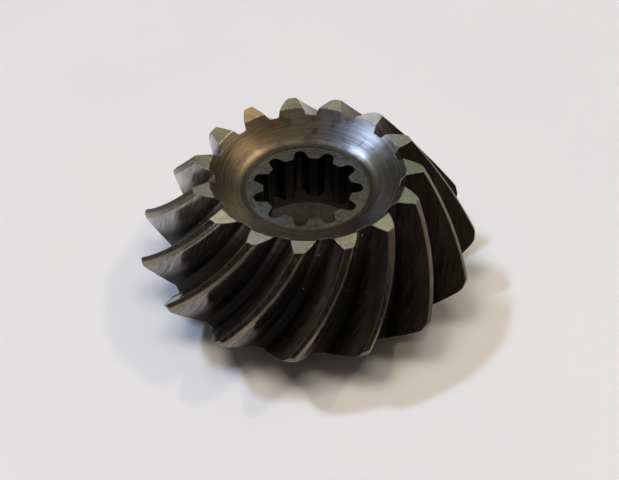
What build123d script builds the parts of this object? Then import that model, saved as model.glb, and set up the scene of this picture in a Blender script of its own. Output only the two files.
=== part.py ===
# Spiral bevel pinion with a splined hub.
#
# The axis is Z and the small end, the toe, points up. Z = 0 is the rear face of the hub, which the
# pinion rests on. Lengths are in millimetres and angles in degrees.

from build123d import *
from math import acos, cos, degrees, pi, radians, sin, sqrt, tan
import os

os.makedirs("parts", exist_ok=True)

# --- Driving dimensions ---------------------------------------------------------------------------
total_height = 22.0

# Teeth. Cone distances are measured along the pitch cone from its apex.
tooth_count = 15
pitch_angle = 29.0  # half angle of the pitch cone
heel_pitch_radius = 23.07
heel_pitch_height = 7.65
heel_addendum = 3.3
heel_dedendum = 2.4
addendum_angle = 5.0  # the face cone is this much wider than the pitch cone
dedendum_angle = 3.7  # the root cone is this much narrower
pressure_angle = 22.5
mean_spiral_angle = 28.2
cutter_radius = 38.1  # the face mill that sweeps the curved tooth spaces
toe_land = 1.1  # the flat top of a tooth, measured round the axis
heel_land = 0.45
toe_bevel = 0.5  # the bevel between the top and the convex flank
heel_bevel = 1.1
bevel_slope = tan(radians(30))
flank_crown = 0.16  # how far a flank bulges past a straight line
root_fillet = 0.4
tooth_phase = -93.8  # direction of the first tooth's tip at the toe
cut_overshoot = 2.2  # how far the shape of a tooth space reaches past the blank
section_step = 2.75
section_count = 9

# Blank
toe_face_inner_radius = 14.8
heel_band = 0.9  # height of the narrow cylinder round the heel tips
heel_round = 0.9
back_angle = 35.0  # slope of the back cone
back_face_radius = 18.0
dish_depth = 3.17
dish_slope = 36.0
dish_fillet = 2.6

# Hub
neck_radius = 9.28
neck_length = 6.8
body_radius = 12.2
flange_radius = 13.5
hub_sink = 0.12  # the hub's top lies this far under the dish floor
edge_chamfer = 0.6
spline_count = 11
spline_major_radius = 8.37
spline_minor_radius = 6.68
notch_mouth = 2.4  # width of a spline notch at the minor radius
notch_slope = tan(radians(16))
notch_fillet = 0.8
notch_edge_round = 0.2
spline_length = 8.1
spline_phase = 98.2
relief_radius = 9.0
counterbore_radius = 10.4
counterbore_depth = 7.15

# --- Tooth geometry -------------------------------------------------------------------------------
pitch_sine = sin(radians(pitch_angle))
pitch_cosine = cos(radians(pitch_angle))
heel_distance = heel_pitch_radius / pitch_sine
toe_distance = heel_distance - (total_height - heel_pitch_height) / pitch_cosine
mean_distance = (toe_distance + heel_distance) / 2
virtual_tooth_count = tooth_count / pitch_cosine

heel_tip_radius = heel_pitch_radius + heel_addendum * pitch_cosine
heel_tip_height = heel_pitch_height + heel_addendum * pitch_sine
face_slope = tan(radians(pitch_angle + addendum_angle))
toe_tip_radius = heel_tip_radius - (total_height - heel_tip_height) * face_slope
toe_tip_distance = heel_distance - (
    (heel_tip_radius - toe_tip_radius) * pitch_sine
    + (total_height - heel_tip_height) * pitch_cosine
)

# The face mill's edge runs on a circle across the flat crown gear that generates the pinion.
mill_offset = 2 * cutter_radius * mean_distance * sin(radians(mean_spiral_angle))
mill_centre_distance = sqrt(mean_distance**2 + cutter_radius**2 - mill_offset)


def addendum(distance):
    """Height of the tooth top over the pitch cone."""
    return heel_addendum - (heel_distance - distance) * tan(radians(addendum_angle))


def dedendum(distance):
    """Depth of the tooth root under the pitch cone."""
    return heel_dedendum - (heel_distance - distance) * tan(radians(dedendum_angle))


def from_toe_to_heel(distance, toe_value, heel_value):
    """Straight taper of a size along the tooth."""
    along = (distance - toe_tip_distance) / (heel_distance - toe_tip_distance)
    return toe_value + along * (heel_value - toe_value)


def crown_angle(distance):
    """Polar angle of the face mill's circle on the crown gear."""
    sides = mill_centre_distance**2 + distance**2 - cutter_radius**2
    return degrees(acos(sides / (2 * mill_centre_distance * distance)))


def turn(distance):
    """How far the tooth line has turned about the axis since the tooth tip at the toe."""
    return (crown_angle(distance) - crown_angle(toe_tip_distance)) / pitch_sine


def flank_slope(distance):
    """Sideways growth of the tooth for each unit of depth, in the section plane."""
    spiral_sine = (distance + (mill_offset - mean_distance**2) / distance) / (2 * cutter_radius)
    return tan(radians(pressure_angle)) / sqrt(1 - spiral_sine**2)


def section_plane(distance):
    """Plane square to the pitch cone, with X round the axis and Y out of the cone."""
    angle = radians(tooth_phase + 180 / tooth_count + turn(distance))
    radius = distance * pitch_sine
    return Plane(
        origin=(
            radius * cos(angle),
            radius * sin(angle),
            heel_pitch_height + (heel_distance - distance) * pitch_cosine,
        ),
        x_dir=(-sin(angle), cos(angle), 0),
        z_dir=(pitch_sine * cos(angle), pitch_sine * sin(angle), -pitch_cosine),
    )


def flank(distance, edge_depth, side):
    """Points down one side of a tooth space, from the edge at edge_depth to the root.

    Sizes round the axis become angles on the virtual spur gear that the section shows.
    """
    top_half = from_toe_to_heel(distance, toe_land + toe_bevel, heel_land + heel_bevel) / 2
    virtual_radius = distance * pitch_sine / pitch_cosine
    flank_depth = addendum(distance) + dedendum(distance) - edge_depth
    points = []
    for along in (0, 0.25, 0.5, 0.75, 1):
        bulge = 4 * flank_crown * along * (1 - along)
        half_tooth = top_half + along * flank_depth * flank_slope(distance) + bulge
        reach = virtual_radius + addendum(distance) - edge_depth - along * flank_depth
        angle = pi / virtual_tooth_count - half_tooth / reach
        points.append((side * reach * sin(angle), reach * cos(angle) - virtual_radius))
    return points


def space_section(distance):
    """Section of a tooth space: a concave flank on +X, a bevelled convex flank on -X."""
    bevel = from_toe_to_heel(distance, toe_bevel, heel_bevel)
    concave = flank(distance, 0, 1)
    convex = flank(distance, bevel * bevel_slope, -1)
    concave_exit = (
        concave[0][0] + cut_overshoot * flank_slope(distance),
        concave[0][1] + cut_overshoot,
    )
    bevel_top = (convex[0][0] - bevel, convex[0][1] + bevel * bevel_slope)
    bevel_exit = (bevel_top[0] - cut_overshoot, concave_exit[1])

    with BuildSketch(section_plane(distance)) as section:
        with BuildLine():
            Polyline(convex[0], bevel_top, bevel_exit, concave_exit, concave[0])
            Spline(*concave)
            Line(concave[-1], convex[-1])
            Spline(*reversed(convex))
        make_face()
        fillet(section.vertices().sort_by(Axis.Y)[:2], root_fillet)
    return section.sketch


# --- Toothed gear body ----------------------------------------------------------------------------
first_section = toe_distance - cut_overshoot
section_distances = [first_section + section_step * step for step in range(section_count)]

with BuildPart() as tooth_space:
    loft(sections=[space_section(distance) for distance in section_distances])

dish_floor = total_height - dish_depth
dish_floor_radius = toe_face_inner_radius - dish_depth / tan(radians(dish_slope))
neck_base = dish_floor - hub_sink - neck_length
band_base = heel_tip_height - heel_band
back_face = band_base - (heel_tip_radius - back_face_radius) * tan(radians(back_angle))

with BuildPart() as bevel_gear:
    with BuildSketch(Plane.XZ) as blank:
        with BuildLine():
            Polyline(
                (body_radius, back_face),
                (back_face_radius, back_face),
                (heel_tip_radius, band_base),
                (heel_tip_radius, heel_tip_height),
                (toe_tip_radius, total_height),
                (toe_face_inner_radius, total_height),
                (dish_floor_radius, dish_floor),
                (neck_radius, dish_floor),
                (neck_radius, neck_base),
                (body_radius, neck_base),
                close=True,
            )
        make_face()
        heel_corner = blank.vertices().sort_by_distance((heel_tip_radius, band_base))[0]
        dish_corner = blank.vertices().sort_by_distance((dish_floor_radius, dish_floor))[0]
        fillet(heel_corner, heel_round)
        fillet(dish_corner, dish_fillet)
    revolve(axis=Axis.Z)
    with PolarLocations(0, tooth_count):
        add(tooth_space.part, mode=Mode.SUBTRACT)

bevel_gear.part.label = "bevel_gear"
export_step(bevel_gear.part, "parts/bevel_gear.step")

# --- Splined hub ----------------------------------------------------------------------------------
def axis_distance(place):
    return Vector(place.X, place.Y).length


hub_top = dish_floor - hub_sink
spline_base = hub_top - spline_length
notch_overlap = 1.0  # the notches' outline starts this far inside the bore
land_tolerance = 0.01
notch_floor_half = notch_mouth / 2 - (spline_major_radius - spline_minor_radius) * notch_slope
notch_mouth_half = notch_mouth / 2 + notch_overlap * notch_slope

with BuildPart() as spline_hub:
    with BuildSketch(Plane.XZ):
        with BuildLine():
            Polyline(
                (counterbore_radius + edge_chamfer, 0),
                (flange_radius - edge_chamfer, 0),
                (flange_radius, edge_chamfer),
                (flange_radius, back_face),
                (body_radius, back_face),
                (body_radius, neck_base),
                (neck_radius, neck_base),
                (neck_radius, hub_top),
                (spline_minor_radius, hub_top),
                (spline_minor_radius, spline_base),
                (relief_radius, spline_base),
                (relief_radius, counterbore_depth),
                (counterbore_radius, counterbore_depth),
                (counterbore_radius, edge_chamfer),
                close=True,
            )
        make_face()
    revolve(axis=Axis.Z)
    with BuildSketch(Plane.XY.offset(hub_top)) as notches:
        with PolarLocations(0, spline_count, start_angle=spline_phase):
            Polygon(
                (spline_minor_radius - notch_overlap, -notch_mouth_half),
                (spline_major_radius, -notch_floor_half),
                (spline_major_radius, notch_floor_half),
                (spline_minor_radius - notch_overlap, notch_mouth_half),
                align=None,
            )
        outer_corners = notches.vertices().filter_by(
            lambda corner: axis_distance(corner) > spline_minor_radius
        )
        fillet(outer_corners, notch_fillet)
    extrude(amount=-spline_length, mode=Mode.SUBTRACT)
    land_edges = spline_hub.edges().filter_by(Axis.Z).filter_by(
        lambda edge: abs(axis_distance(edge.center()) - spline_minor_radius) < land_tolerance
    )
    fillet(land_edges, notch_edge_round)

spline_hub.part.label = "spline_hub"
export_step(spline_hub.part, "parts/spline_hub.step")
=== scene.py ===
# Looks of the spiral bevel pinion: finished meshes for the gear body and the splined hub, their
# steels, and a studio shot. Z is the gear's axis, and the small end, the toe, points up.

import math

import bmesh
import bpy
import numpy as np
from mathutils import Matrix, Vector


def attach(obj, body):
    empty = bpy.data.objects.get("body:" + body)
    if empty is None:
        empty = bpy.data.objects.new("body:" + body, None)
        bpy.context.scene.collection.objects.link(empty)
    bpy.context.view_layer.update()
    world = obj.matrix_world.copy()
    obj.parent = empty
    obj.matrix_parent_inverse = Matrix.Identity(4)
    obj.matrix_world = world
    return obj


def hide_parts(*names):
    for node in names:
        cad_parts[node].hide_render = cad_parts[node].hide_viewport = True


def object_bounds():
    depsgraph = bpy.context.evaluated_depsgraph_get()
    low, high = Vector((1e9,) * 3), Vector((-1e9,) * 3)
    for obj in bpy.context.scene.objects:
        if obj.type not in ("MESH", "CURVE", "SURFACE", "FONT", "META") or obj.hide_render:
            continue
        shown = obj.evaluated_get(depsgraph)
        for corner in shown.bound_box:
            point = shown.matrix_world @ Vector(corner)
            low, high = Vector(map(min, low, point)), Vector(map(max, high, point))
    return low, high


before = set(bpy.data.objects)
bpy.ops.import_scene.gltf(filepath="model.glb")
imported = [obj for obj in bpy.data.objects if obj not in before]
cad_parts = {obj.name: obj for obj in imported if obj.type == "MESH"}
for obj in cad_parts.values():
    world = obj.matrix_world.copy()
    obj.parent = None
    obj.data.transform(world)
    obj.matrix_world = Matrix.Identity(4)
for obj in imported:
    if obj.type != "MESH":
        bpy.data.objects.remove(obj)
cad_low, cad_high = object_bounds()

MM = 0.001  # the sizes below are in millimetres

# --- Sizes of the pinion, as in its design --------------------------------------------------------
total_height = cad_high.z / MM
tooth_count = 15
pitch_angle = math.radians(29)
heel_pitch_radius = 23.07
heel_pitch_height = 7.65
heel_addendum = 3.3
heel_dedendum = 2.4
addendum_angle = math.radians(5)
dedendum_angle = math.radians(3.7)
pressure_slope = math.tan(math.radians(22.5))
mean_spiral_angle = math.radians(28.2)
cutter_radius = 38.1
toe_land, heel_land = 1.1, 0.45
toe_bevel, heel_bevel = 0.5, 1.1
bevel_slope = math.tan(math.radians(30))
flank_crown = 0.16
root_fillet = 0.4
tooth_phase = math.radians(-93.8)

toe_face_inner_radius = 14.8
heel_band = 0.9
heel_round = 0.9
back_angle = math.radians(35)
back_face_radius = 18.0
dish_depth = 3.17
dish_angle = math.radians(36)
dish_fillet = 2.6

neck_radius = 9.28
neck_length = 6.8
body_radius = 12.2
flange_radius = 13.5
hub_sink = 0.12
edge_chamfer = 0.6
spline_count = 11
spline_major_radius = 8.37
spline_minor_radius = 6.68
notch_mouth_half = 1.2
notch_slope = math.tan(math.radians(16))
notch_fillet = 0.8
notch_edge_round = 0.2
spline_length = 8.1
spline_phase = math.radians(98.2)
relief_radius = 9.0
counterbore_radius = 10.4
counterbore_depth = 7.15

worn_edge = 0.09  # width of the rounding that handling leaves on sharp edges
sharp_angle = math.radians(24)  # the least angle between two faces that counts as a sharp edge

# --- Tooth geometry -------------------------------------------------------------------------------
pitch_sine, pitch_cosine = math.sin(pitch_angle), math.cos(pitch_angle)
heel_distance = heel_pitch_radius / pitch_sine
toe_distance = heel_distance - (total_height - heel_pitch_height) / pitch_cosine
mean_distance = (toe_distance + heel_distance) / 2
virtual_tooth_count = tooth_count / pitch_cosine
tooth_pitch = math.tau / tooth_count
addendum_slope, dedendum_slope = math.tan(addendum_angle), math.tan(dedendum_angle)

heel_tip_radius = heel_pitch_radius + heel_addendum * pitch_cosine
heel_tip_height = heel_pitch_height + heel_addendum * pitch_sine
face_slope = math.tan(pitch_angle + addendum_angle)
toe_tip_radius = heel_tip_radius - (total_height - heel_tip_height) * face_slope
toe_tip_distance = heel_distance - (
    (heel_tip_radius - toe_tip_radius) * pitch_sine
    + (total_height - heel_tip_height) * pitch_cosine
)
# The law of cosines, in the triangle of the crown gear's centre, the middle of the tooth line and
# the mill's centre.
cosine_term = 2 * cutter_radius * mean_distance * math.sin(mean_spiral_angle)
mill_centre_distance = math.sqrt(mean_distance**2 + cutter_radius**2 - cosine_term)


def addendum(distance):
    return heel_addendum - (heel_distance - distance) * addendum_slope


def dedendum(distance):
    return heel_dedendum - (heel_distance - distance) * dedendum_slope


def from_toe_to_heel(distance, toe_value, heel_value):
    along = (distance - toe_tip_distance) / (heel_distance - toe_tip_distance)
    return toe_value + along * (heel_value - toe_value)


def crown_angle(distance):
    """Polar angle of the face mill's circle on the crown gear."""
    sides = mill_centre_distance**2 + distance**2 - cutter_radius**2
    return np.arccos(sides / (2 * mill_centre_distance * distance))


def turn(distance):
    """How far the tooth line has turned about the axis since the tooth tip at the toe."""
    return (crown_angle(distance) - crown_angle(toe_tip_distance)) / pitch_sine


def flank_slope(distance):
    """Sideways growth of a flank for each millimetre of depth, in the section plane."""
    spiral_sine = (distance + (cosine_term - mean_distance**2) / distance) / (2 * cutter_radius)
    return pressure_slope / np.sqrt(1 - spiral_sine**2)


def face_radius(height):
    """Radius of the cone that the tooth tops lie on."""
    return heel_tip_radius - (height - heel_tip_height) * face_slope


def cylindrical(distance, x, y):
    """Radius, angle and height of a point of the section plane at a cone distance."""
    outward = distance * pitch_sine + y * pitch_cosine
    angle = tooth_phase + tooth_pitch / 2 + turn(distance) + np.arctan2(x, outward)
    height = heel_pitch_height + (heel_distance - distance) * pitch_cosine + y * pitch_sine
    return np.hypot(outward, x), angle, height


def edge_depth(distance, side):
    """Depth of a flank's upper edge under the tooth top. The convex flank, side -1, is bevelled."""
    return 0 if side > 0 else from_toe_to_heel(distance, toe_bevel, heel_bevel) * bevel_slope


def flank(distance, along, side):
    """Point of a flank, from its upper edge at 0 to the sharp corner at the root at 1."""
    top_half = from_toe_to_heel(distance, toe_land + toe_bevel, heel_land + heel_bevel) / 2
    virtual_radius = distance * pitch_sine / pitch_cosine
    start = edge_depth(distance, side)
    depth = addendum(distance) + dedendum(distance) - start
    bulge = 4 * flank_crown * along * (1 - along)
    half_tooth = top_half + along * depth * flank_slope(distance) + bulge
    reach = virtual_radius + addendum(distance) - start - along * depth
    angle = math.pi / virtual_tooth_count - half_tooth / reach
    return np.array([side * reach * np.sin(angle), reach * np.cos(angle) - virtual_radius])


def root_corner(distance, side):
    """The root's sharp corner, the directions from it up the flank and along the root, and the
    length that its fillet takes off both."""
    corner = flank(distance, 1.0, side)
    up = flank(distance, 0.9, side) - corner
    across = flank(distance, 1.0, -side) - corner
    up, across = up / np.linalg.norm(up), across / np.linalg.norm(across)
    half_angle = np.arccos(up @ across) / 2
    return corner, up, across, root_fillet / math.tan(half_angle)


def space_point(distance, line):
    """Point of one line of a tooth space. A line is its kind, its side and a share from 0 to 1."""
    kind, side, share = line
    corner, up, across, cut = root_corner(distance, side)
    if kind == "flank":
        length = np.linalg.norm(flank(distance, 0.0, side) - corner)
        point = flank(distance, share * (1 - cut / length), side)
        if share == 0 and side > 0:
            point = raised_to_face(distance, point, np.array([flank_slope(distance), 1.0]))
        return point
    if kind == "fillet":
        middle = up + across
        centre = corner + middle * math.hypot(root_fillet, cut) / np.linalg.norm(middle)
        start, end = corner + up * cut - centre, corner + across * cut - centre
        reach = start + share * (end - start)
        return centre + reach * root_fillet / np.linalg.norm(reach)
    if kind == "root":
        other, _, other_across, other_cut = root_corner(distance, -side)
        start, end = corner + across * cut, other + other_across * other_cut
        return start + share * (end - start)
    # The last kind is the bevel.
    upper_edge = flank(distance, 0.0, -1)
    top = raised_to_face(distance, upper_edge, np.array([-1.0, bevel_slope]))
    return upper_edge + share * (top - upper_edge)


def raised_to_face(distance, point, direction):
    """The point moved along a direction of the section plane to the cone of the tooth tops."""
    rounds, probe = 6, 0.01
    for _ in range(rounds):
        radius, _, height = cylindrical(distance, *point)
        gap = radius - face_radius(height)
        ahead_radius, _, ahead_height = cylindrical(distance, *(point + probe * direction))
        growth = (ahead_radius - face_radius(ahead_height) - gap) / probe
        point = point - direction * gap / growth
    return point


def crossing(function, low, high, halvings=45):
    """The value between low and high where an increasing function passes zero."""
    for _ in range(halvings):
        middle = (low + high) / 2
        if function(middle) > 0:
            high = middle
        else:
            low = middle
    return (low + high) / 2


# --- Outlines of the blank ------------------------------------------------------------------------
def corner_arc(corner, before, after, rounding, steps):
    """Points of the round between two straight sides that meet at a corner."""
    back, ahead = before - corner, after - corner
    back, ahead = back / np.linalg.norm(back), ahead / np.linalg.norm(ahead)
    cut = rounding / math.tan(math.acos(back @ ahead) / 2)
    middle = back + ahead
    centre = corner + middle * math.hypot(rounding, cut) / np.linalg.norm(middle)
    start, end = corner + back * cut - centre, corner + ahead * cut - centre
    arc = []
    for share in np.linspace(0, 1, steps + 1):
        reach = start + share * (end - start)
        arc.append(centre + reach * rounding / np.linalg.norm(reach))
    return arc


def rounded_path(start, corner, end, rounding):
    """Lengths, radii and heights along two straight sides and the round between them."""
    outline = np.array([start, *corner_arc(corner, start, end, rounding, steps=32), end])
    steps = np.linalg.norm(np.diff(outline, axis=0), axis=1)
    return np.concatenate([[0], np.cumsum(steps)]), outline[:, 0], outline[:, 1]


def on_path(path, length):
    """Radius and height at a length along a path."""
    lengths, radii, heights = path
    return np.interp(length, lengths, radii), np.interp(length, lengths, heights)


dish_floor = total_height - dish_depth
dish_floor_radius = toe_face_inner_radius - dish_depth / math.tan(dish_angle)
hub_top = dish_floor - hub_sink
neck_base = hub_top - neck_length
spline_base = hub_top - spline_length
band_base = heel_tip_height - heel_band
back_face = band_base - (heel_tip_radius - back_face_radius) * math.tan(back_angle)

dish_path = rounded_path(
    np.array([toe_face_inner_radius, total_height]),
    np.array([dish_floor_radius, dish_floor]),
    np.array([neck_radius, dish_floor]),
    dish_fillet,
)
heel_path = rounded_path(
    np.array([heel_tip_radius, heel_tip_height]),
    np.array([heel_tip_radius, band_base]),
    np.array([back_face_radius, back_face]),
    heel_round,
)


def before_toe(distance, line, on_dish):
    """How far a line of a tooth space lies under the toe face or the dish."""
    radius, _, height = cylindrical(distance, *space_point(distance, line))
    surface = total_height
    if on_dish:
        surface -= (toe_face_inner_radius - radius) * math.tan(dish_angle)
    return surface - height


def past_heel(distance, line):
    """How far a line of a tooth space lies outside the rounded heel."""
    radius, _, height = cylindrical(distance, *space_point(distance, line))
    out = radius - heel_tip_radius
    under = out * math.sin(back_angle) - (height - band_base) * math.cos(back_angle)
    corner_turn = math.pi / 2 - back_angle
    inner_out, inner_under = out + heel_round, under + heel_round
    # Coordinates from the rounding's centre, along the band's normal and down the band.
    down = (inner_under - inner_out * math.cos(corner_turn)) / math.sin(corner_turn)
    in_rounding = down > 0 and inner_out * math.sin(corner_turn) > down * math.cos(corner_turn)
    if in_rounding:
        return math.hypot(inner_out, down) - heel_round
    return max(out, under)


# --- Lines that run along a tooth space -----------------------------------------------------------
bevel_steps, upper_steps, lower_steps, fillet_steps, root_steps = 2, 5, 6, 4, 3
length_steps = 56
tooth_steps = 3  # across the top of a tooth
# Cone distances between which every line reaches the toe and the heel.
toe_search = toe_distance - 3, toe_distance + 6
heel_search = heel_distance - 6, heel_distance + 4


def toe_radius(share, side):
    """Radius at which a line of a flank reaches the toe face."""
    line = ("flank", side, share)
    distance = crossing(lambda d: before_toe(d, line, False), *toe_search)
    return cylindrical(distance, *space_point(distance, line))[0]


# Share of each flank at which the toe face ends and the dish begins.
rim_share = {
    side: crossing(lambda share: toe_face_inner_radius - toe_radius(share, side), 0, 1)
    for side in (-1, 1)
}

lines = [("bevel", -1, share) for share in np.linspace(1, 0, bevel_steps + 1)[:-1]]
lines += [("flank", -1, share) for share in np.linspace(0, rim_share[-1], upper_steps + 1)[:-1]]
convex_rim = len(lines)
lines += [("flank", -1, share) for share in np.linspace(rim_share[-1], 1, lower_steps + 1)[:-1]]
convex_fillet = len(lines)
lines += [("fillet", -1, share) for share in np.linspace(0, 1, fillet_steps + 1)[:-1]]
root_middle = len(lines) + root_steps // 2
lines += [("root", -1, share) for share in np.linspace(0, 1, root_steps + 1)[:-1]]
lines += [("fillet", 1, share) for share in np.linspace(1, 0, fillet_steps + 1)[:-1]]
concave_fillet = len(lines)
lines += [("flank", 1, share) for share in np.linspace(1, rim_share[1], lower_steps + 1)[:-1]]
concave_rim = len(lines)
concave_upper = np.linspace(rim_share[1], 0, bevel_steps + upper_steps + 1)
lines += [("flank", 1, share) for share in concave_upper]

space = np.zeros((length_steps + 1, len(lines), 3))  # radius, angle and height
for column, line in enumerate(lines):
    on_dish = convex_rim <= column <= concave_rim
    first = crossing(lambda d: before_toe(d, line, on_dish), *toe_search)
    last = crossing(lambda d: past_heel(d, line), *heel_search)
    for row, distance in enumerate(np.linspace(first, last, length_steps + 1)):
        space[row, column] = cylindrical(distance, *space_point(distance, line))


# --- Mesh building --------------------------------------------------------------------------------
class Shell:
    """A closed mesh put together from patches of faces, which meet at the same points."""

    def __init__(self):
        self.points, self.faces, self.zones, self.tooth_places = [], [], [], []

    def patch(self, cylinders, zone, tooth_places=None, closed=False):
        """Faces between rows of (radius, angle, height) points. A closed patch joins its last
        column to its first."""
        rows, columns = cylinders.shape[:2]
        start = len(self.points)
        radius, angle, height = cylinders.reshape(-1, 3).T
        self.points.extend(np.stack([radius * np.cos(angle), radius * np.sin(angle), height], 1))
        for row in range(rows - 1):
            for column in range(columns if closed else columns - 1):
                beside = (column + 1) % columns
                self.faces.append([
                    start + row * columns + column,
                    start + row * columns + beside,
                    start + (row + 1) * columns + beside,
                    start + (row + 1) * columns + column,
                ])
                self.zones.append(zone)
        if tooth_places is None:
            tooth_places = np.zeros((rows, columns, 2))
        self.tooth_places.extend(tooth_places.reshape(-1, 2))

    def ring_between(self, inner, outer, zone):
        """Triangles between two closed rings whose points lie at different angles."""
        start = len(self.points)
        rings = [ring[np.argsort(ring[:, 1] % math.tau)] for ring in (inner, outer)]
        for radius, angle, height in np.concatenate(rings):
            self.points.append(np.array([radius * math.cos(angle), radius * math.sin(angle), height]))
            self.tooth_places.append(np.zeros(2))
        counts = [len(ring) for ring in rings]
        angles = [list(ring[:, 1] % math.tau) for ring in rings]
        angles = [values + [values[0] + math.tau, values[1] + math.tau] for values in angles]
        at = [0, 0]
        while at[0] < counts[0] or at[1] < counts[1]:
            inner_point = start + at[0] % counts[0]
            outer_point = start + counts[0] + at[1] % counts[1]
            step = 0 if angles[0][at[0] + 1] <= angles[1][at[1] + 1] else 1
            if at[step] == counts[step]:
                step = 1 - step
            at[step] += 1
            offset, count = (start, counts[0]) if step == 0 else (start + counts[0], counts[1])
            self.faces.append([inner_point, outer_point, offset + at[step] % count])
            self.zones.append(zone)

    def build(self, name, materials):
        """The object, welded, with rounded and worn edges, on the body root. The last of the
        materials is the worn edges'."""
        weld_distance, sliver_length = 0.002 * MM, 0.0005 * MM
        mesh = bpy.data.meshes.new(name)
        mesh.from_pydata([tuple(point * MM) for point in self.points], [], self.faces)
        mesh.polygons.foreach_set("material_index", [materials.index(zone) for zone in self.zones])
        places = mesh.uv_layers.new(name="tooth")
        for loop in mesh.loops:
            places.data[loop.index].uv = self.tooth_places[loop.vertex_index]
        for material in materials:
            mesh.materials.append(bpy.data.materials[material])
        work = bmesh.new()
        work.from_mesh(mesh)
        bmesh.ops.remove_doubles(work, verts=work.verts, dist=weld_distance)
        bmesh.ops.dissolve_degenerate(work, edges=work.edges, dist=sliver_length)
        bmesh.ops.recalc_face_normals(work, faces=work.faces)
        for face in work.faces:
            face.smooth = True
        work.to_mesh(mesh)
        work.free()
        piece = bpy.data.objects.new(name, mesh)
        bpy.context.scene.collection.objects.link(piece)
        rounding = piece.modifiers.new("worn edges", "BEVEL")
        rounding.width = worn_edge * MM
        rounding.segments = 3
        rounding.limit_method = "ANGLE"
        rounding.angle_limit = sharp_angle
        rounding.material = len(materials) - 1
        rounding.harden_normals = True
        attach(piece, "root")
        return piece


def turned(cylinders, pitches):
    """A copy of (radius, angle, height) points, turned about the axis by whole tooth pitches."""
    return cylinders + np.array([0, pitches * tooth_pitch, 0])


def across(left, right, steps):
    """Points between two columns of (radius, angle, height) points, both columns included."""
    shares = np.linspace(0, 1, steps + 1)[None, :, None]
    return left[:, None, :] * (1 - shares) + right[:, None, :] * shares


def revolved(angles, radii, heights):
    """Rows of points round the axis, one row for each radius and height."""
    rows = np.zeros((len(radii), len(angles), 3))
    rows[:, :, 0] = np.array(radii)[:, None]
    rows[:, :, 1] = angles
    rows[:, :, 2] = np.array(heights)[:, None]
    return rows


# --- Gear body ------------------------------------------------------------------------------------
def all_round(points):
    """The points of one tooth pitch, repeated round the axis."""
    return np.concatenate([turned(points, pitch) for pitch in range(tooth_count)])


def heel_length(points):
    """Lengths along heel_path of points on the heel."""
    return np.interp(-points[:, 2], -heel_path[2], heel_path[0])


def heel_end(left, right):
    """The heel end of a tooth, from one flank to the other, which follows heel_path."""
    lengths = across(
        np.stack([heel_length(left), left[:, 1]], 1),
        np.stack([heel_length(right), right[:, 1]], 1),
        tooth_steps,
    )
    radii, heights = on_path(heel_path, lengths[:, :, 0])
    end = np.stack([radii, lengths[:, :, 1], heights], 2)
    end[:, 0], end[:, -1] = left, right
    return end


def places_on_tooth(points):
    """How far along the tooth points lie, and how deep under its top, in millimetres."""
    along = (total_height - points[:, :, 2]) / math.cos(pitch_angle)
    depth = (face_radius(points[:, :, 2]) - points[:, :, 0]) * pitch_cosine
    return np.stack([along, depth], 2)


def add_teeth(shell, top, toe_face, tooth_back):
    """The spaces and, between each of them and the next, the tops and ends of the teeth."""
    bevel = space[:, : bevel_steps + 1]
    convex = space[:, bevel_steps : root_middle + 1]
    concave = space[:, root_middle:]
    for pitch in range(tooth_count):
        shell.patch(turned(bevel, pitch), "bevel_steel", places_on_tooth(bevel))
        shell.patch(turned(convex, pitch), "convex_flank_steel", places_on_tooth(convex))
        shell.patch(turned(concave, pitch), "concave_flank_steel_painted_shade", places_on_tooth(concave))
        shell.patch(turned(top, pitch), "land_steel", places_on_tooth(top))
        shell.patch(turned(toe_face, pitch), "toe_steel")
        shell.patch(turned(tooth_back, pitch), "back_steel")


def add_dish(shell, rim):
    """The dish, from its scalloped rim down its cone and along its floor to the hub's neck."""
    cone_steps, floor_steps = 12, 7
    cone_end = (toe_face_inner_radius - dish_floor_radius) / math.cos(dish_angle)
    cone_end -= dish_fillet * math.tan(dish_angle / 2)
    rim_length = (toe_face_inner_radius - rim[:, 0]) / math.cos(dish_angle)
    lengths = across(
        np.stack([rim_length, rim[:, 1]], 1),
        np.stack([0 * rim_length + cone_end, rim[:, 1]], 1),
        cone_steps,
    )
    radii, heights = on_path(dish_path, lengths[:, :, 0])
    cone = np.stack([radii, lengths[:, :, 1], heights], 2).transpose(1, 0, 2)
    cone[0] = rim
    shell.patch(cone, "dish_steel", closed=True)
    floor_lengths = np.linspace(cone_end, dish_path[0][-1], floor_steps + 1)
    radii, heights = on_path(dish_path, floor_lengths)
    shell.patch(revolved(rim[:, 1], radii, heights), "dish_steel", closed=True)


def add_back(shell, rim, foot):
    """The hub's seat, the back cone, and the back face between them."""
    radii = [neck_radius, neck_radius, body_radius, body_radius]
    heights = [dish_floor, neck_base, neck_base, back_face]
    shell.patch(revolved(rim[:, 1], radii, heights), "back_steel", closed=True)
    cone_steps = 5
    shares = np.linspace(0, 1, cone_steps + 1)[:, None]
    lengths = heel_length(foot) * (1 - shares) + heel_path[0][-1] * shares
    radii, heights = on_path(heel_path, lengths)
    back_cone = np.stack([radii, 0 * radii + foot[:, 1], heights], 2)
    back_cone[0] = foot
    shell.patch(back_cone, "back_steel", closed=True)
    shell.ring_between(
        revolved(rim[:, 1], [body_radius], [back_face])[0],
        revolved(foot[:, 1], [back_face_radius], [back_face])[0],
        "back_steel",
    )


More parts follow.
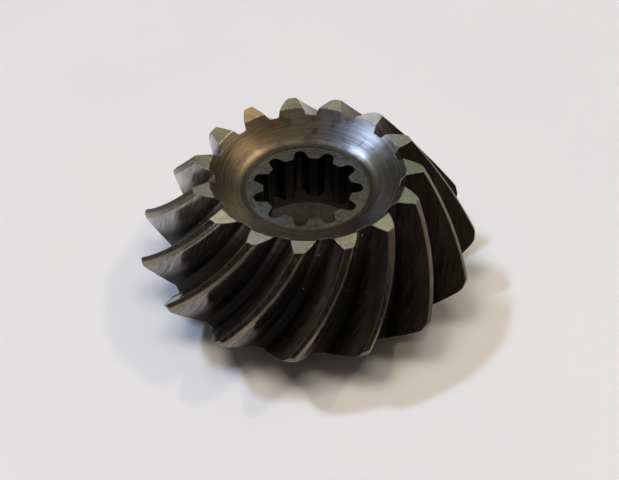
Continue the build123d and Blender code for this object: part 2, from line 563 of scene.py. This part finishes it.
def gear_body():
    """The toothed body. A tooth lies between a space's concave flank and the next one's convex
    flank."""
    shell = Shell()
    next_space = turned(space, 1)
    top = across(space[:, -1], next_space[:, 0], tooth_steps)
    top[:, :, 0] = face_radius(top[:, :, 2])
    toe_face = across(space[0, concave_rim:], next_space[0, convex_rim::-1], tooth_steps)
    tooth_back = heel_end(space[-1, concave_fillet:][::-1], next_space[-1, : convex_fillet + 1])
    add_teeth(shell, top, toe_face, tooth_back)

    # Two rings round the axis: the dish's scalloped rim and the line under the teeth at the heel.
    rim = all_round(np.concatenate([space[0, convex_rim:concave_rim], toe_face[0, :-1]]))
    foot = all_round(np.concatenate([space[-1, convex_fillet:concave_fillet], tooth_back[-1, :-1]]))
    add_dish(shell, rim)
    add_back(shell, rim, foot)
    body = shell.build(
        "toothed_body",
        ["convex_flank_steel", "concave_flank_steel_painted_shade", "land_steel", "bevel_steel", "toe_steel",
         "dish_steel", "back_steel", "edge_steel"],
    )
    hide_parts("bevel_gear")


# --- Splined hub ----------------------------------------------------------------------------------
def spline_outline():
    """The splined bore's outline as radii and angles, all the way round."""
    edge_steps, fillet_steps, land_steps = 4, 7, 6
    wall = np.array([1.0, -notch_slope])  # outwards along a notch's side, towards its middle
    # Where the side's line from (minor radius, mouth) meets the circle of the lands.
    outward, rounds = spline_minor_radius, 20
    for _ in range(rounds):
        half = notch_mouth_half + (spline_minor_radius - outward) * notch_slope
        outward = math.sqrt(spline_minor_radius**2 - half**2)
    mouth = np.array([outward, half])
    floor_half = notch_mouth_half - (spline_major_radius - spline_minor_radius) * notch_slope
    deep = np.array([spline_major_radius, floor_half])
    land_direction = np.array([-mouth[1], mouth[0]]) / spline_minor_radius
    edge = corner_arc(mouth, mouth + land_direction, mouth + wall, notch_edge_round, edge_steps)
    floor_middle = np.array([spline_major_radius, 0.0])
    floor = corner_arc(deep, mouth, floor_middle, notch_fillet, fillet_steps)
    side = [edge[-1] + (floor[0] - edge[-1]) * share for share in (1 / 3, 2 / 3)]
    land_start = math.atan2(edge[0][1], edge[0][0])
    land = [
        spline_minor_radius * np.array([math.cos(angle), math.sin(angle)])
        for angle in np.linspace(math.pi / spline_count, land_start, land_steps + 1)[:-1]
    ]
    half_notch = np.array(land + edge + side + floor)
    mirrored = half_notch[::-1] * np.array([1, -1])
    notch = np.concatenate([half_notch, mirrored[:-1]])[::-1]
    radii, angles = np.hypot(*notch.T), np.arctan2(notch[:, 1], notch[:, 0])
    turns = spline_phase + np.arange(spline_count) * math.tau / spline_count
    return np.tile(radii, spline_count), (turns[:, None] + angles).ravel()


def hub():
    """The splined hub: its upper end, then down the bore and up the outside."""
    shell = Shell()
    bore_radii, angles = spline_outline()

    def rows(starts, ends, start_height, end_height, steps):
        """Rows of points from one outline to another."""
        shares = np.linspace(0, 1, steps + 1)[:, None]
        radii = starts * (1 - shares) + ends * shares
        heights = 0 * radii + start_height * (1 - shares) + end_height * shares
        return np.stack([radii, 0 * radii + angles, heights], 2)

    def circle(radius):
        """A plain outline with as many points as the splined one."""
        return np.full_like(bore_radii, radius)

    upper_end = rows(circle(neck_radius), bore_radii, hub_top, hub_top, steps=4)
    grooves = rows(bore_radii, bore_radii, hub_top, spline_base, steps=14)
    step_out = rows(bore_radii, circle(relief_radius), spline_base, spline_base, steps=3)
    shell.patch(upper_end, "hub_face_steel", closed=True)
    shell.patch(grooves, "bore_steel", closed=True)
    shell.patch(step_out, "bore_steel", closed=True)

    # Radius and height of every corner under the spline, and the steps to the next corner.
    outline = [
        (relief_radius, spline_base, 4),
        (relief_radius, counterbore_depth, 3),
        (counterbore_radius, counterbore_depth, 5),
        (counterbore_radius, edge_chamfer, 1),
        (counterbore_radius + edge_chamfer, 0, 2),
        (flange_radius - edge_chamfer, 0, 1),
        (flange_radius, edge_chamfer, 2),
        (flange_radius, back_face, 1),
        (body_radius, back_face, 3),
        (body_radius, neck_base, 2),
        (neck_radius, neck_base, 3),
        (neck_radius, hub_top, 1),
    ]
    for (start, low, steps), (end, high, _) in zip(outline, outline[1:]):
        inside = max(start, end) <= counterbore_radius + edge_chamfer and low < neck_base
        band = rows(circle(start), circle(end), low, high, steps)
        shell.patch(band, "bore_steel" if inside else "back_steel", closed=True)
    ring = shell.build(
        "splined_hub",
        ["hub_face_steel", "bore_steel", "back_steel", "edge_steel"],
    )
    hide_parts("spline_hub")


# --- Surfaces -------------------------------------------------------------------------------------
class Surface:
    """A procedural material. Its patterns are placed in millimetres in the part's frame, or by the
    tooth places: how far along the tooth a point lies, and how deep under the tooth's top."""

    def __init__(self, name, metallic=1.0):
        material = bpy.data.materials.new(name)
        material.use_nodes = True
        self.tree = material.node_tree
        self.shader = self.tree.nodes["Principled BSDF"]
        self.shader.inputs["Metallic"].default_value = metallic
        self.place = self.vector("SCALE", self.node("ShaderNodeTexCoord").outputs["Object"], 1 / MM)
        split = self.node("ShaderNodeSeparateXYZ", Vector=self.place)
        flat = self.join(split.outputs["X"], split.outputs["Y"], 0.0)
        length = self.node("ShaderNodeVectorMath", operation="LENGTH", Vector=flat)
        self.radius = length.outputs["Value"]
        self.heading = self.vector("NORMALIZE", flat)
        self.height = split.outputs["Z"]

    def node(self, kind, operation=None, **inputs):
        node = self.tree.nodes.new(kind)
        if operation:
            node.operation = operation
        for name, value in inputs.items():
            self.feed(node.inputs[name], value)
        return node

    def feed(self, socket, value):
        if isinstance(value, bpy.types.NodeSocket):
            self.tree.links.new(value, socket)
        else:
            socket.default_value = value

    def join(self, x, y, z):
        return self.node("ShaderNodeCombineXYZ", X=x, Y=y, Z=z).outputs["Vector"]

    def vector(self, operation, a, scale=None):
        node = self.node("ShaderNodeVectorMath", operation=operation)
        self.feed(node.inputs[0], a)
        if scale is not None:
            node.inputs["Scale"].default_value = scale
        return node.outputs["Vector"]

    def calculated(self, operation, a, b):
        node = self.node("ShaderNodeMath", operation=operation)
        self.feed(node.inputs[0], a)
        self.feed(node.inputs[1], b)
        return node.outputs["Value"]

    def plus(self, a, b):
        return self.calculated("ADD", a, b)

    def minus(self, a, b):
        return self.calculated("SUBTRACT", a, b)

    def times(self, a, b):
        return self.calculated("MULTIPLY", a, b)

    def tooth_place(self):
        """Distance along the tooth and depth under its top, in millimetres."""
        split = self.node("ShaderNodeSeparateXYZ")
        layer = self.node("ShaderNodeUVMap")
        layer.uv_map = "tooth"
        self.tree.links.new(layer.outputs["UV"], split.inputs["Vector"])
        return split.outputs["X"], split.outputs["Y"]

    def noise(self, place, scale, detail=3.0, distortion=0.0):
        """Noise from 0 to 1. Its scale is in lumps a millimetre, and its detail in octaves."""
        texture = self.node(
            "ShaderNodeTexNoise", Vector=place, Scale=scale, Detail=detail, Distortion=distortion
        )
        return texture.outputs["Fac"]

    def turning(self, fineness, drift):
        """Noise in rings round the axis: fineness is rings a millimetre, and drift is how fast
        they change round the axis."""
        split = self.node("ShaderNodeSeparateXYZ", Vector=self.heading)
        rings = self.join(
            self.times(self.radius, fineness),
            self.times(split.outputs["X"], drift),
            self.times(split.outputs["Y"], drift),
        )
        return self.noise(rings, 1.0, 2.0)

    def facing(self, heading, near, far):
        """A share that is 1 within near degrees of a heading round the axis, and 0 beyond far. A
        heading of 0 degrees is to the right, and one of 90 to the back."""
        towards = math.radians(heading)
        split = self.node("ShaderNodeSeparateXYZ", Vector=self.heading)
        likeness = self.plus(
            self.times(split.outputs["X"], math.cos(towards)),
            self.times(split.outputs["Y"], math.sin(towards)),
        )
        return self.between(likeness, math.cos(math.radians(far)), math.cos(math.radians(near)))

    def between(self, value, low, high, new_low=0.0, new_high=1.0):
        """The value's stretch from low to high, mapped to the new limits and clamped."""
        node = self.node("ShaderNodeMapRange", Value=value)
        limits = {"From Min": low, "From Max": high, "To Min": new_low, "To Max": new_high}
        for name, limit in limits.items():
            node.inputs[name].default_value = limit
        return node.outputs["Result"]

    def mix(self, share, first, second):
        """A colour from first at 0 to second at 1."""
        node = self.tree.nodes.new("ShaderNodeMix")
        node.data_type = "RGBA"
        self.feed(node.inputs["Factor"], share)
        colours = [socket for socket in node.inputs if socket.type == "RGBA"]
        for socket, colour in zip(colours, (first, second)):
            self.feed(socket, (*colour, 1) if isinstance(colour, tuple) else colour)
        return [socket for socket in node.outputs if socket.type == "RGBA"][0]

    def blend(self, value, low, high, first, second, most=1.0):
        """A colour from first, where the value is low, to a share of second, where it is high."""
        return self.mix(self.between(value, low, high, 0, most), first, second)

    def brushed_round(self, strength):
        """Grooves round the axis, which draw the highlights out across them."""
        self.shader.inputs["Anisotropic"].default_value = strength
        self.shader.inputs["Anisotropic Rotation"].default_value = 0.25
        round_axis = self.node("ShaderNodeTangent")
        round_axis.direction_type = "RADIAL"
        round_axis.axis = "Z"
        self.tree.links.new(round_axis.outputs["Tangent"], self.shader.inputs["Tangent"])

    def finish(self, colour, roughness, relief, depth):
        """Colour and roughness of the shader, and a relief of a depth in millimetres."""
        self.feed(self.shader.inputs["Base Color"], colour)
        self.feed(self.shader.inputs["Roughness"], roughness)
        bump = self.node("ShaderNodeBump", Height=relief)
        bump.inputs["Distance"].default_value = depth * MM
        self.tree.links.new(bump.outputs["Normal"], self.shader.inputs["Normal"])


def flank_steel(name, pale, worn):
    """Case-hardened flanks: a thin dark oxide over grey steel, dullest in the root and painted
    darker there as shade. The cutter's marks run aslant, from the tooth's top towards its root and
    its heel."""
    steel = Surface(name, metallic=0.94)
    along, depth = steel.tooth_place()
    # The noise changes fast in the feed's direction and slowly along a mark.
    feed = steel.minus(steel.times(along, 2.1), steel.times(depth, 5.6))
    marks = steel.noise(steel.join(feed, steel.times(along, 0.2), 0.0), 1.0, 2.0, 0.2)
    marks = steel.times(marks, steel.between(depth, 5.0, 3.8))
    patches = steel.noise(steel.place, 0.35, 4.0)
    grain = steel.noise(steel.place, 7.0, 4.0)
    oxide = steel.blend(patches, 0.35, 0.7, pale, worn)
    bright = tuple(1.7 * part for part in worn)
    oxide = steel.blend(marks, 0.44, 0.62, oxide, bright, 0.9)
    # Painted shade: the colour darkens deep in the root.
    oxide = steel.blend(depth, 2.0, 4.4, oxide, (0.016, 0.014, 0.012), 0.95)
    specks = steel.between(steel.noise(steel.place, 2.2, 2.0), 0.735, 0.76)
    oxide = steel.mix(specks, oxide, (0.55, 0.53, 0.5))
    relief = steel.plus(marks, steel.times(grain, 0.05))
    dullness = steel.between(depth, 2.2, 4.0, 0, 0.38)
    roughness = steel.plus(steel.between(patches, 0.3, 0.7, 0.15, 0.22), dullness)
    steel.finish(oxide, roughness, relief, depth=0.018)


def land_steel():
    """Tooth tops: dark brown oxide, streaked, and painted brighter on the right as light."""
    steel = Surface("land_steel")
    streaks = steel.noise(steel.place, 1.2, 5.0)
    patches = steel.noise(steel.place, 0.5, 3.0)
    colour = steel.blend(patches, 0.35, 0.68, (0.038, 0.031, 0.022), (0.074, 0.061, 0.045))
    # Painted light: the tops on the right are painted brighter, as lit.
    brighter_tone = steel.blend(patches, 0.35, 0.68, (0.24, 0.19, 0.14), (0.38, 0.31, 0.23))
    colour = steel.mix(steel.facing(-10, 25, 50), colour, brighter_tone)
    colour = steel.blend(streaks, 0.52, 0.72, colour, (0.22, 0.18, 0.14), 0.4)
    grain = steel.noise(steel.place, 11.0, 3.0)
    roughness = steel.between(patches, 0.3, 0.7, 0.44, 0.58)
    steel.finish(colour, roughness, relief=grain, depth=0.012)


def bevel_steel():
    """The bevel beside each tooth top: a later cut, brown, and brighter towards the heel."""
    steel = Surface("bevel_steel")
    along, _ = steel.tooth_place()
    patches = steel.noise(steel.place, 0.6, 4.0)
    grain = steel.noise(steel.place, 10.0, 3.0)
    colour = steel.blend(patches, 0.35, 0.65, (0.08, 0.063, 0.041), (0.15, 0.118, 0.077))
    brighter_tone = steel.blend(patches, 0.35, 0.65, (0.19, 0.152, 0.104), (0.3, 0.243, 0.17))
    colour = steel.blend(along, 3.0, 12.0, colour, brighter_tone)
    roughness = steel.between(patches, 0.3, 0.7, 0.34, 0.46)
    steel.finish(colour, roughness, relief=grain, depth=0.012)


def toe_steel():
    """Toe ends of the teeth: faced on the lathe and greenish where stained. They are painted darker,
    and greenish, on the right and darker on the left as shade, and four teeth carry painted
    highlights."""
    steel = Surface("toe_steel")
    steel.brushed_round(0.45)
    rings = steel.turning(7.0, 3.0)
    patches = steel.noise(steel.place, 0.22, 3.0)
    stains = steel.noise(steel.place, 0.8, 4.0)
    colour = steel.blend(patches, 0.38, 0.62, (0.58, 0.55, 0.41), (0.7, 0.67, 0.52))
    # Painted shade: darker and greenish on the right, and darker on the left.
    colour = steel.mix(steel.facing(-10, 15, 50), colour, (0.34, 0.42, 0.29))
    colour = steel.mix(steel.facing(180, 20, 65), colour, (0.42, 0.41, 0.3))
    colour = steel.blend(stains, 0.48, 0.66, colour, (0.27, 0.33, 0.25), 0.65)
    # Painted highlights on four teeth, where the lamps' reflections fall.
    for tooth_heading, painted_light_and_shade in (
        (122.2, (0.8, 0.6, 0.32)),
        (74.2, (0.72, 0.68, 0.5)),
        (50.2, (0.95, 0.95, 0.9)),
        (-141.8, (0.8, 0.68, 0.42)),
    ):
        colour = steel.mix(steel.facing(tooth_heading, 8, 12), colour, painted_light_and_shade)
    pits = steel.between(steel.noise(steel.place, 2.6, 2.0), 0.7, 0.74)
    colour = steel.mix(pits, colour, (0.1, 0.09, 0.08))
    grain = steel.noise(steel.place, 8.0, 3.0)
    relief = steel.plus(rings, steel.times(grain, 0.5))
    roughness = steel.between(stains, 0.3, 0.7, 0.34, 0.5)
    steel.finish(colour, roughness, relief, depth=0.012)


def dish_steel():
    """The dish: turned steel with rings of tool marks. It is painted darker at the front and the
    sides as shade and lighter at the back as light, with painted highlights at the back, brown on
    the left and bluish on the right, which partly show the heat colours of hardening."""
    steel = Surface("dish_steel")
    steel.brushed_round(0.45)
    fine, coarse = steel.turning(9.0, 1.6), steel.turning(2.2, 0.7)
    patches = steel.noise(steel.place, 0.25, 4.0)
    colour = steel.blend(patches, 0.38, 0.62, (0.166, 0.161, 0.127), (0.223, 0.214, 0.173))
    # Painted shade and light by heading: darker at the right, the left and the front right, lighter
    # at the back, and painted highlights at the back left, brown, and at the back right, bluish.
    for heading, near, far, painted_light_and_shade in (
        (12, 24, 44, (0.125, 0.118, 0.088)),
        (175, 14, 40, (0.13, 0.125, 0.095)),
        (-40, 12, 36, (0.046, 0.04, 0.028)),
        (95, 15, 45, (0.42, 0.35, 0.25)),
        (140, 10, 40, (0.195, 0.145, 0.078)),
        (55, 10, 26, (0.32, 0.33, 0.35)),
    ):
        colour = steel.mix(steel.facing(heading, near, far), colour, painted_light_and_shade)
    # Painted shade: darker towards the rim at the back left.
    towards_rim = steel.between(steel.radius, 11.6, 13.2)
    painted_shade_rim = steel.times(steel.facing(150, 20, 45), towards_rim)
    colour = steel.mix(painted_shade_rim, colour, (0.09, 0.07, 0.042))
    stains = steel.noise(steel.place, 0.5, 5.0, 0.5)
    colour = steel.blend(stains, 0.5, 0.64, colour, (0.085, 0.068, 0.068), 0.6)
    colour = steel.blend(fine, 0.5, 0.75, colour, (0.32, 0.3, 0.27), 0.45)
    colour = steel.blend(coarse, 0.5, 0.7, colour, (0.075, 0.07, 0.06), 0.55)
    colour = steel.blend(steel.radius, 10.3, 9.8, colour, (0.07, 0.055, 0.03), 0.7)
    specks = steel.between(steel.noise(steel.place, 2.4, 2.0), 0.74, 0.76)
    colour = steel.mix(specks, colour, (0.5, 0.48, 0.43))
    relief = steel.plus(fine, steel.times(coarse, 1.6))
    roughness = steel.between(coarse, 0.3, 0.7, 0.34, 0.43)
    steel.finish(colour, roughness, relief, depth=0.022)


def hub_face_steel():
    """The hub's upper end: ground, mottled grey-green."""
    steel = Surface("hub_face_steel")
    steel.brushed_round(0.4)
    rings = steel.turning(3.0, 2.0)
    grain = steel.noise(steel.place, 2.8, 6.0)
    patches = steel.noise(steel.place, 0.5, 3.0)
    colour = steel.blend(patches, 0.35, 0.65, (0.118, 0.13, 0.114), (0.157, 0.166, 0.141))
    colour = steel.blend(grain, 0.5, 0.62, colour, (0.17, 0.172, 0.14), 0.6)
    colour = steel.blend(grain, 0.48, 0.38, colour, (0.045, 0.05, 0.044), 0.6)
    colour = steel.blend(rings, 0.55, 0.7, colour, (0.065, 0.07, 0.065), 0.4)
    roughness = steel.between(grain, 0.3, 0.7, 0.38, 0.5)
    steel.finish(colour, roughness, relief=grain, depth=0.02)


def bore_steel():
    """Inside of the bore: painted dark as shade, with the broach's lines along the axis, painted dark
    brown under the spline as shade, and painted paler and mottled in the counterbore as light."""
    steel = Surface("bore_steel")
    split = steel.node("ShaderNodeSeparateXYZ", Vector=steel.place)
    drawn_out = steel.times(steel.height, 0.05)
    broach = steel.noise(steel.join(split.outputs["X"], split.outputs["Y"], drawn_out), 2.5, 4.0)
    patches = steel.noise(steel.place, 0.3, 3.0)
    # Painted shade: the bore's steel is painted dark.
    colour = steel.blend(broach, 0.4, 0.7, (0.022, 0.021, 0.02), (0.052, 0.049, 0.046))
    colour = steel.blend(patches, 0.45, 0.7, colour, (0.04, 0.031, 0.028), 0.5)
    seam = 0.05  # half the height over which one finish passes into the next
    # Painted shade: dark brown under the spline.
    bored = steel.between(steel.height, spline_base + seam, spline_base - seam)
    colour = steel.mix(bored, colour, (0.05, 0.038, 0.034))
    # Painted light: the counterbore is painted paler, with a mottle.
    counterbore_painted_light = steel.between(steel.height, counterbore_depth + seam, counterbore_depth - seam)
    mottle = steel.between(steel.noise(steel.place, 1.2, 4.0), 0.35, 0.65)
    colour = steel.mix(counterbore_painted_light, colour, steel.mix(mottle, (0.125, 0.112, 0.1), (0.175, 0.157, 0.14)))
    roughness = steel.between(patches, 0.3, 0.7, 0.42, 0.56)
    steel.finish(colour, roughness, relief=broach, depth=0.02)


def back_steel():
    """Heel and back: turned, with a thin grey oxide."""
    steel = Surface("back_steel")
    steel.brushed_round(0.5)
    rings = steel.turning(4.0, 1.0)
    patches = steel.noise(steel.place, 0.3, 4.0)
    colour = steel.blend(patches, 0.35, 0.65, (0.12, 0.12, 0.125), (0.2, 0.2, 0.2))
    colour = steel.blend(rings, 0.5, 0.72, colour, (0.28, 0.27, 0.26), 0.5)
    roughness = steel.between(rings, 0.3, 0.7, 0.4, 0.54)
    steel.finish(colour, roughness, relief=rings, depth=0.02)


def edge_steel():
    """Sharp edges, worn to bare steel in places, most of all at the toe and least in the bore."""
    steel = Surface("edge_steel")
    along, _ = steel.tooth_place()
    wear = steel.noise(steel.place, 1.6, 5.0)
    near_toe = steel.between(along, 2.5, 0.3, 0.25, 1)
    off_bore = steel.between(steel.radius, 9.5, 13.0, 0.1, 1)
    bare = steel.times(steel.between(wear, 0.35, 0.65), near_toe)
    bare = steel.times(bare, off_bore)
    colour = steel.mix(bare, (0.11, 0.092, 0.07), (0.4, 0.375, 0.33))
    roughness = steel.between(bare, 0, 1, 0.5, 0.42)
    steel.finish(colour, roughness, relief=wear, depth=0.01)


# Lit and shaded copies of one steel: the convex flanks get the paler tones, and the concave flanks
# darker ones, painted shade.
flank_steel("convex_flank_steel", pale=(0.13, 0.122, 0.111), worn=(0.212, 0.2, 0.187))
flank_steel("concave_flank_steel_painted_shade", pale=(0.056, 0.048, 0.04), worn=(0.096, 0.084, 0.071))
for make_steel in (
    land_steel, bevel_steel, toe_steel, dish_steel, hub_face_steel, bore_steel, back_steel,
    edge_steel,
):
    make_steel()


# --- Floor, lights and camera ---------------------------------------------------------------------
def floor():
    """The pale table top, slightly mottled."""
    paper = Surface("floor_paper", metallic=0.0)
    tone = paper.noise(paper.place, 0.03, 4.0)
    colour = paper.blend(tone, 0.35, 0.65, (0.80, 0.785, 0.785), (0.83, 0.81, 0.805))
    paper.finish(colour, roughness=0.6, relief=paper.noise(paper.place, 1.5, 4.0), depth=0.02)
    half = 20  # metres, so that the table reaches the horizon
    mesh = bpy.data.meshes.new("floor")
    corners = [(-half, -half, 0), (half, -half, 0), (half, half, 0), (-half, half, 0)]
    mesh.from_pydata(corners, [], [(0, 1, 2, 3)])
    mesh.materials.append(bpy.data.materials["floor_paper"])
    table = bpy.data.objects.new("floor", mesh)
    bpy.context.scene.collection.objects.link(table)


def suns():
    """A cool window of two panes at the back left and a warm lamp at the back right. A gleam of
    each shows only in the steel's reflections. The directions point to the suns."""
    window_colour, lamp_colour = (0.74, 1.0, 1.4), (1.14, 1.0, 0.74)
    width = math.radians(4)
    for name, direction, colour, power, lights_table in (
        ("window_left", (-0.350, 0.145, 0.515), window_colour, 0.48, True),
        ("window_right", (-0.322, 0.185, 0.515), window_colour, 0.48, True),
        ("window_gleam", (-0.336, 0.165, 0.515), (1.0, 0.7, 0.75), 0.28, False),
        ("lamp", (0.335, 0.180, 0.515), lamp_colour, 0.31, True),
        ("lamp_gleam", (0.305, 0.220, 0.515), lamp_colour, 0.73, False),
    ):
        light = bpy.data.lights.new(name, "SUN")
        light.color = colour
        light.energy = power
        light.angle = width
        holder = bpy.data.objects.new(name, light)
        holder.rotation_euler = Vector(direction).to_track_quat("Z", "Y").to_euler()
        holder.visible_diffuse = lights_table
        bpy.context.scene.collection.objects.link(holder)


def ceiling():
    """Two panels overhead, which fill the shadows on the table and don't mirror in the steel."""
    for name, place, power in (
        ("ceiling_left", (-0.4, -0.2, 1.45), 8.2),
        ("ceiling_right", (0.2, -0.25, 1.5), 5.4),
    ):
        panel = bpy.data.lights.new(name, "AREA")
        panel.size = 0.5
        panel.energy = power
        panel.color = (1.0, 0.91, 0.81)
        holder = bpy.data.objects.new(name, panel)
        holder.location = place
        holder.rotation_euler = Vector(place).to_track_quat("Z", "Y").to_euler()
        holder.visible_glossy = False
        bpy.context.scene.collection.objects.link(holder)


def room():
    """A soft dim room, brighter overhead than at the horizon, and behind than in front."""
    world = bpy.data.worlds.new("room")
    world.use_nodes = True
    bpy.context.scene.world = world
    nodes, links = world.node_tree.nodes, world.node_tree.links
    direction = nodes.new("ShaderNodeSeparateXYZ")
    links.new(nodes.new("ShaderNodeTexCoord").outputs["Generated"], direction.inputs["Vector"])
    strength = nodes.new("ShaderNodeMath")
    strength.operation = "MULTIPLY"
    upwards = {"From Min": 0, "From Max": 1, "To Min": 0.35, "To Max": 1.5}
    backwards = {"From Min": -0.6, "From Max": 0.8, "To Min": 0.3, "To Max": 1.35}
    for factor, axis, limits in zip(strength.inputs, ("Z", "Y"), (upwards, backwards)):
        ramp = nodes.new("ShaderNodeMapRange")
        for name, limit in limits.items():
            ramp.inputs[name].default_value = limit
        links.new(direction.outputs[axis], ramp.inputs["Value"])
        links.new(ramp.outputs["Result"], factor)
    background = nodes["Background"]
    background.inputs["Color"].default_value = (0.15, 0.135, 0.115, 1)
    links.new(strength.outputs["Value"], background.inputs["Strength"])
    bpy.context.scene.view_settings.view_transform = "Standard"


def camera():
    """The camera stands in front of the pinion and looks down on it."""
    lens = bpy.data.cameras.new("camera")
    lens.lens = 91.35
    lens.sensor_width = 36
    lens.clip_start = 0.01
    holder = bpy.data.objects.new("camera", lens)
    elevation, distance = math.radians(42.05), 0.23457  # of the camera, seen from the toe's centre
    away = Vector((0, -math.cos(elevation), math.sin(elevation)))
    look_down, yaw, roll = math.radians(44.555), math.radians(-0.0957), math.radians(-0.13)
    attitude = (
        Matrix.Rotation(yaw, 4, "Z")
        @ Matrix.Rotation(math.pi / 2 - look_down, 4, "X")
        @ Matrix.Rotation(roll, 4, "Z")
    )
    toe_centre = Vector((0, 0, cad_high.z))
    holder.matrix_world = Matrix.Translation(toe_centre + away * distance) @ attitude
    bpy.context.scene.collection.objects.link(holder)
    bpy.context.scene.camera = holder


gear_body()
hub()
floor()
suns()
ceiling()
room()
camera()
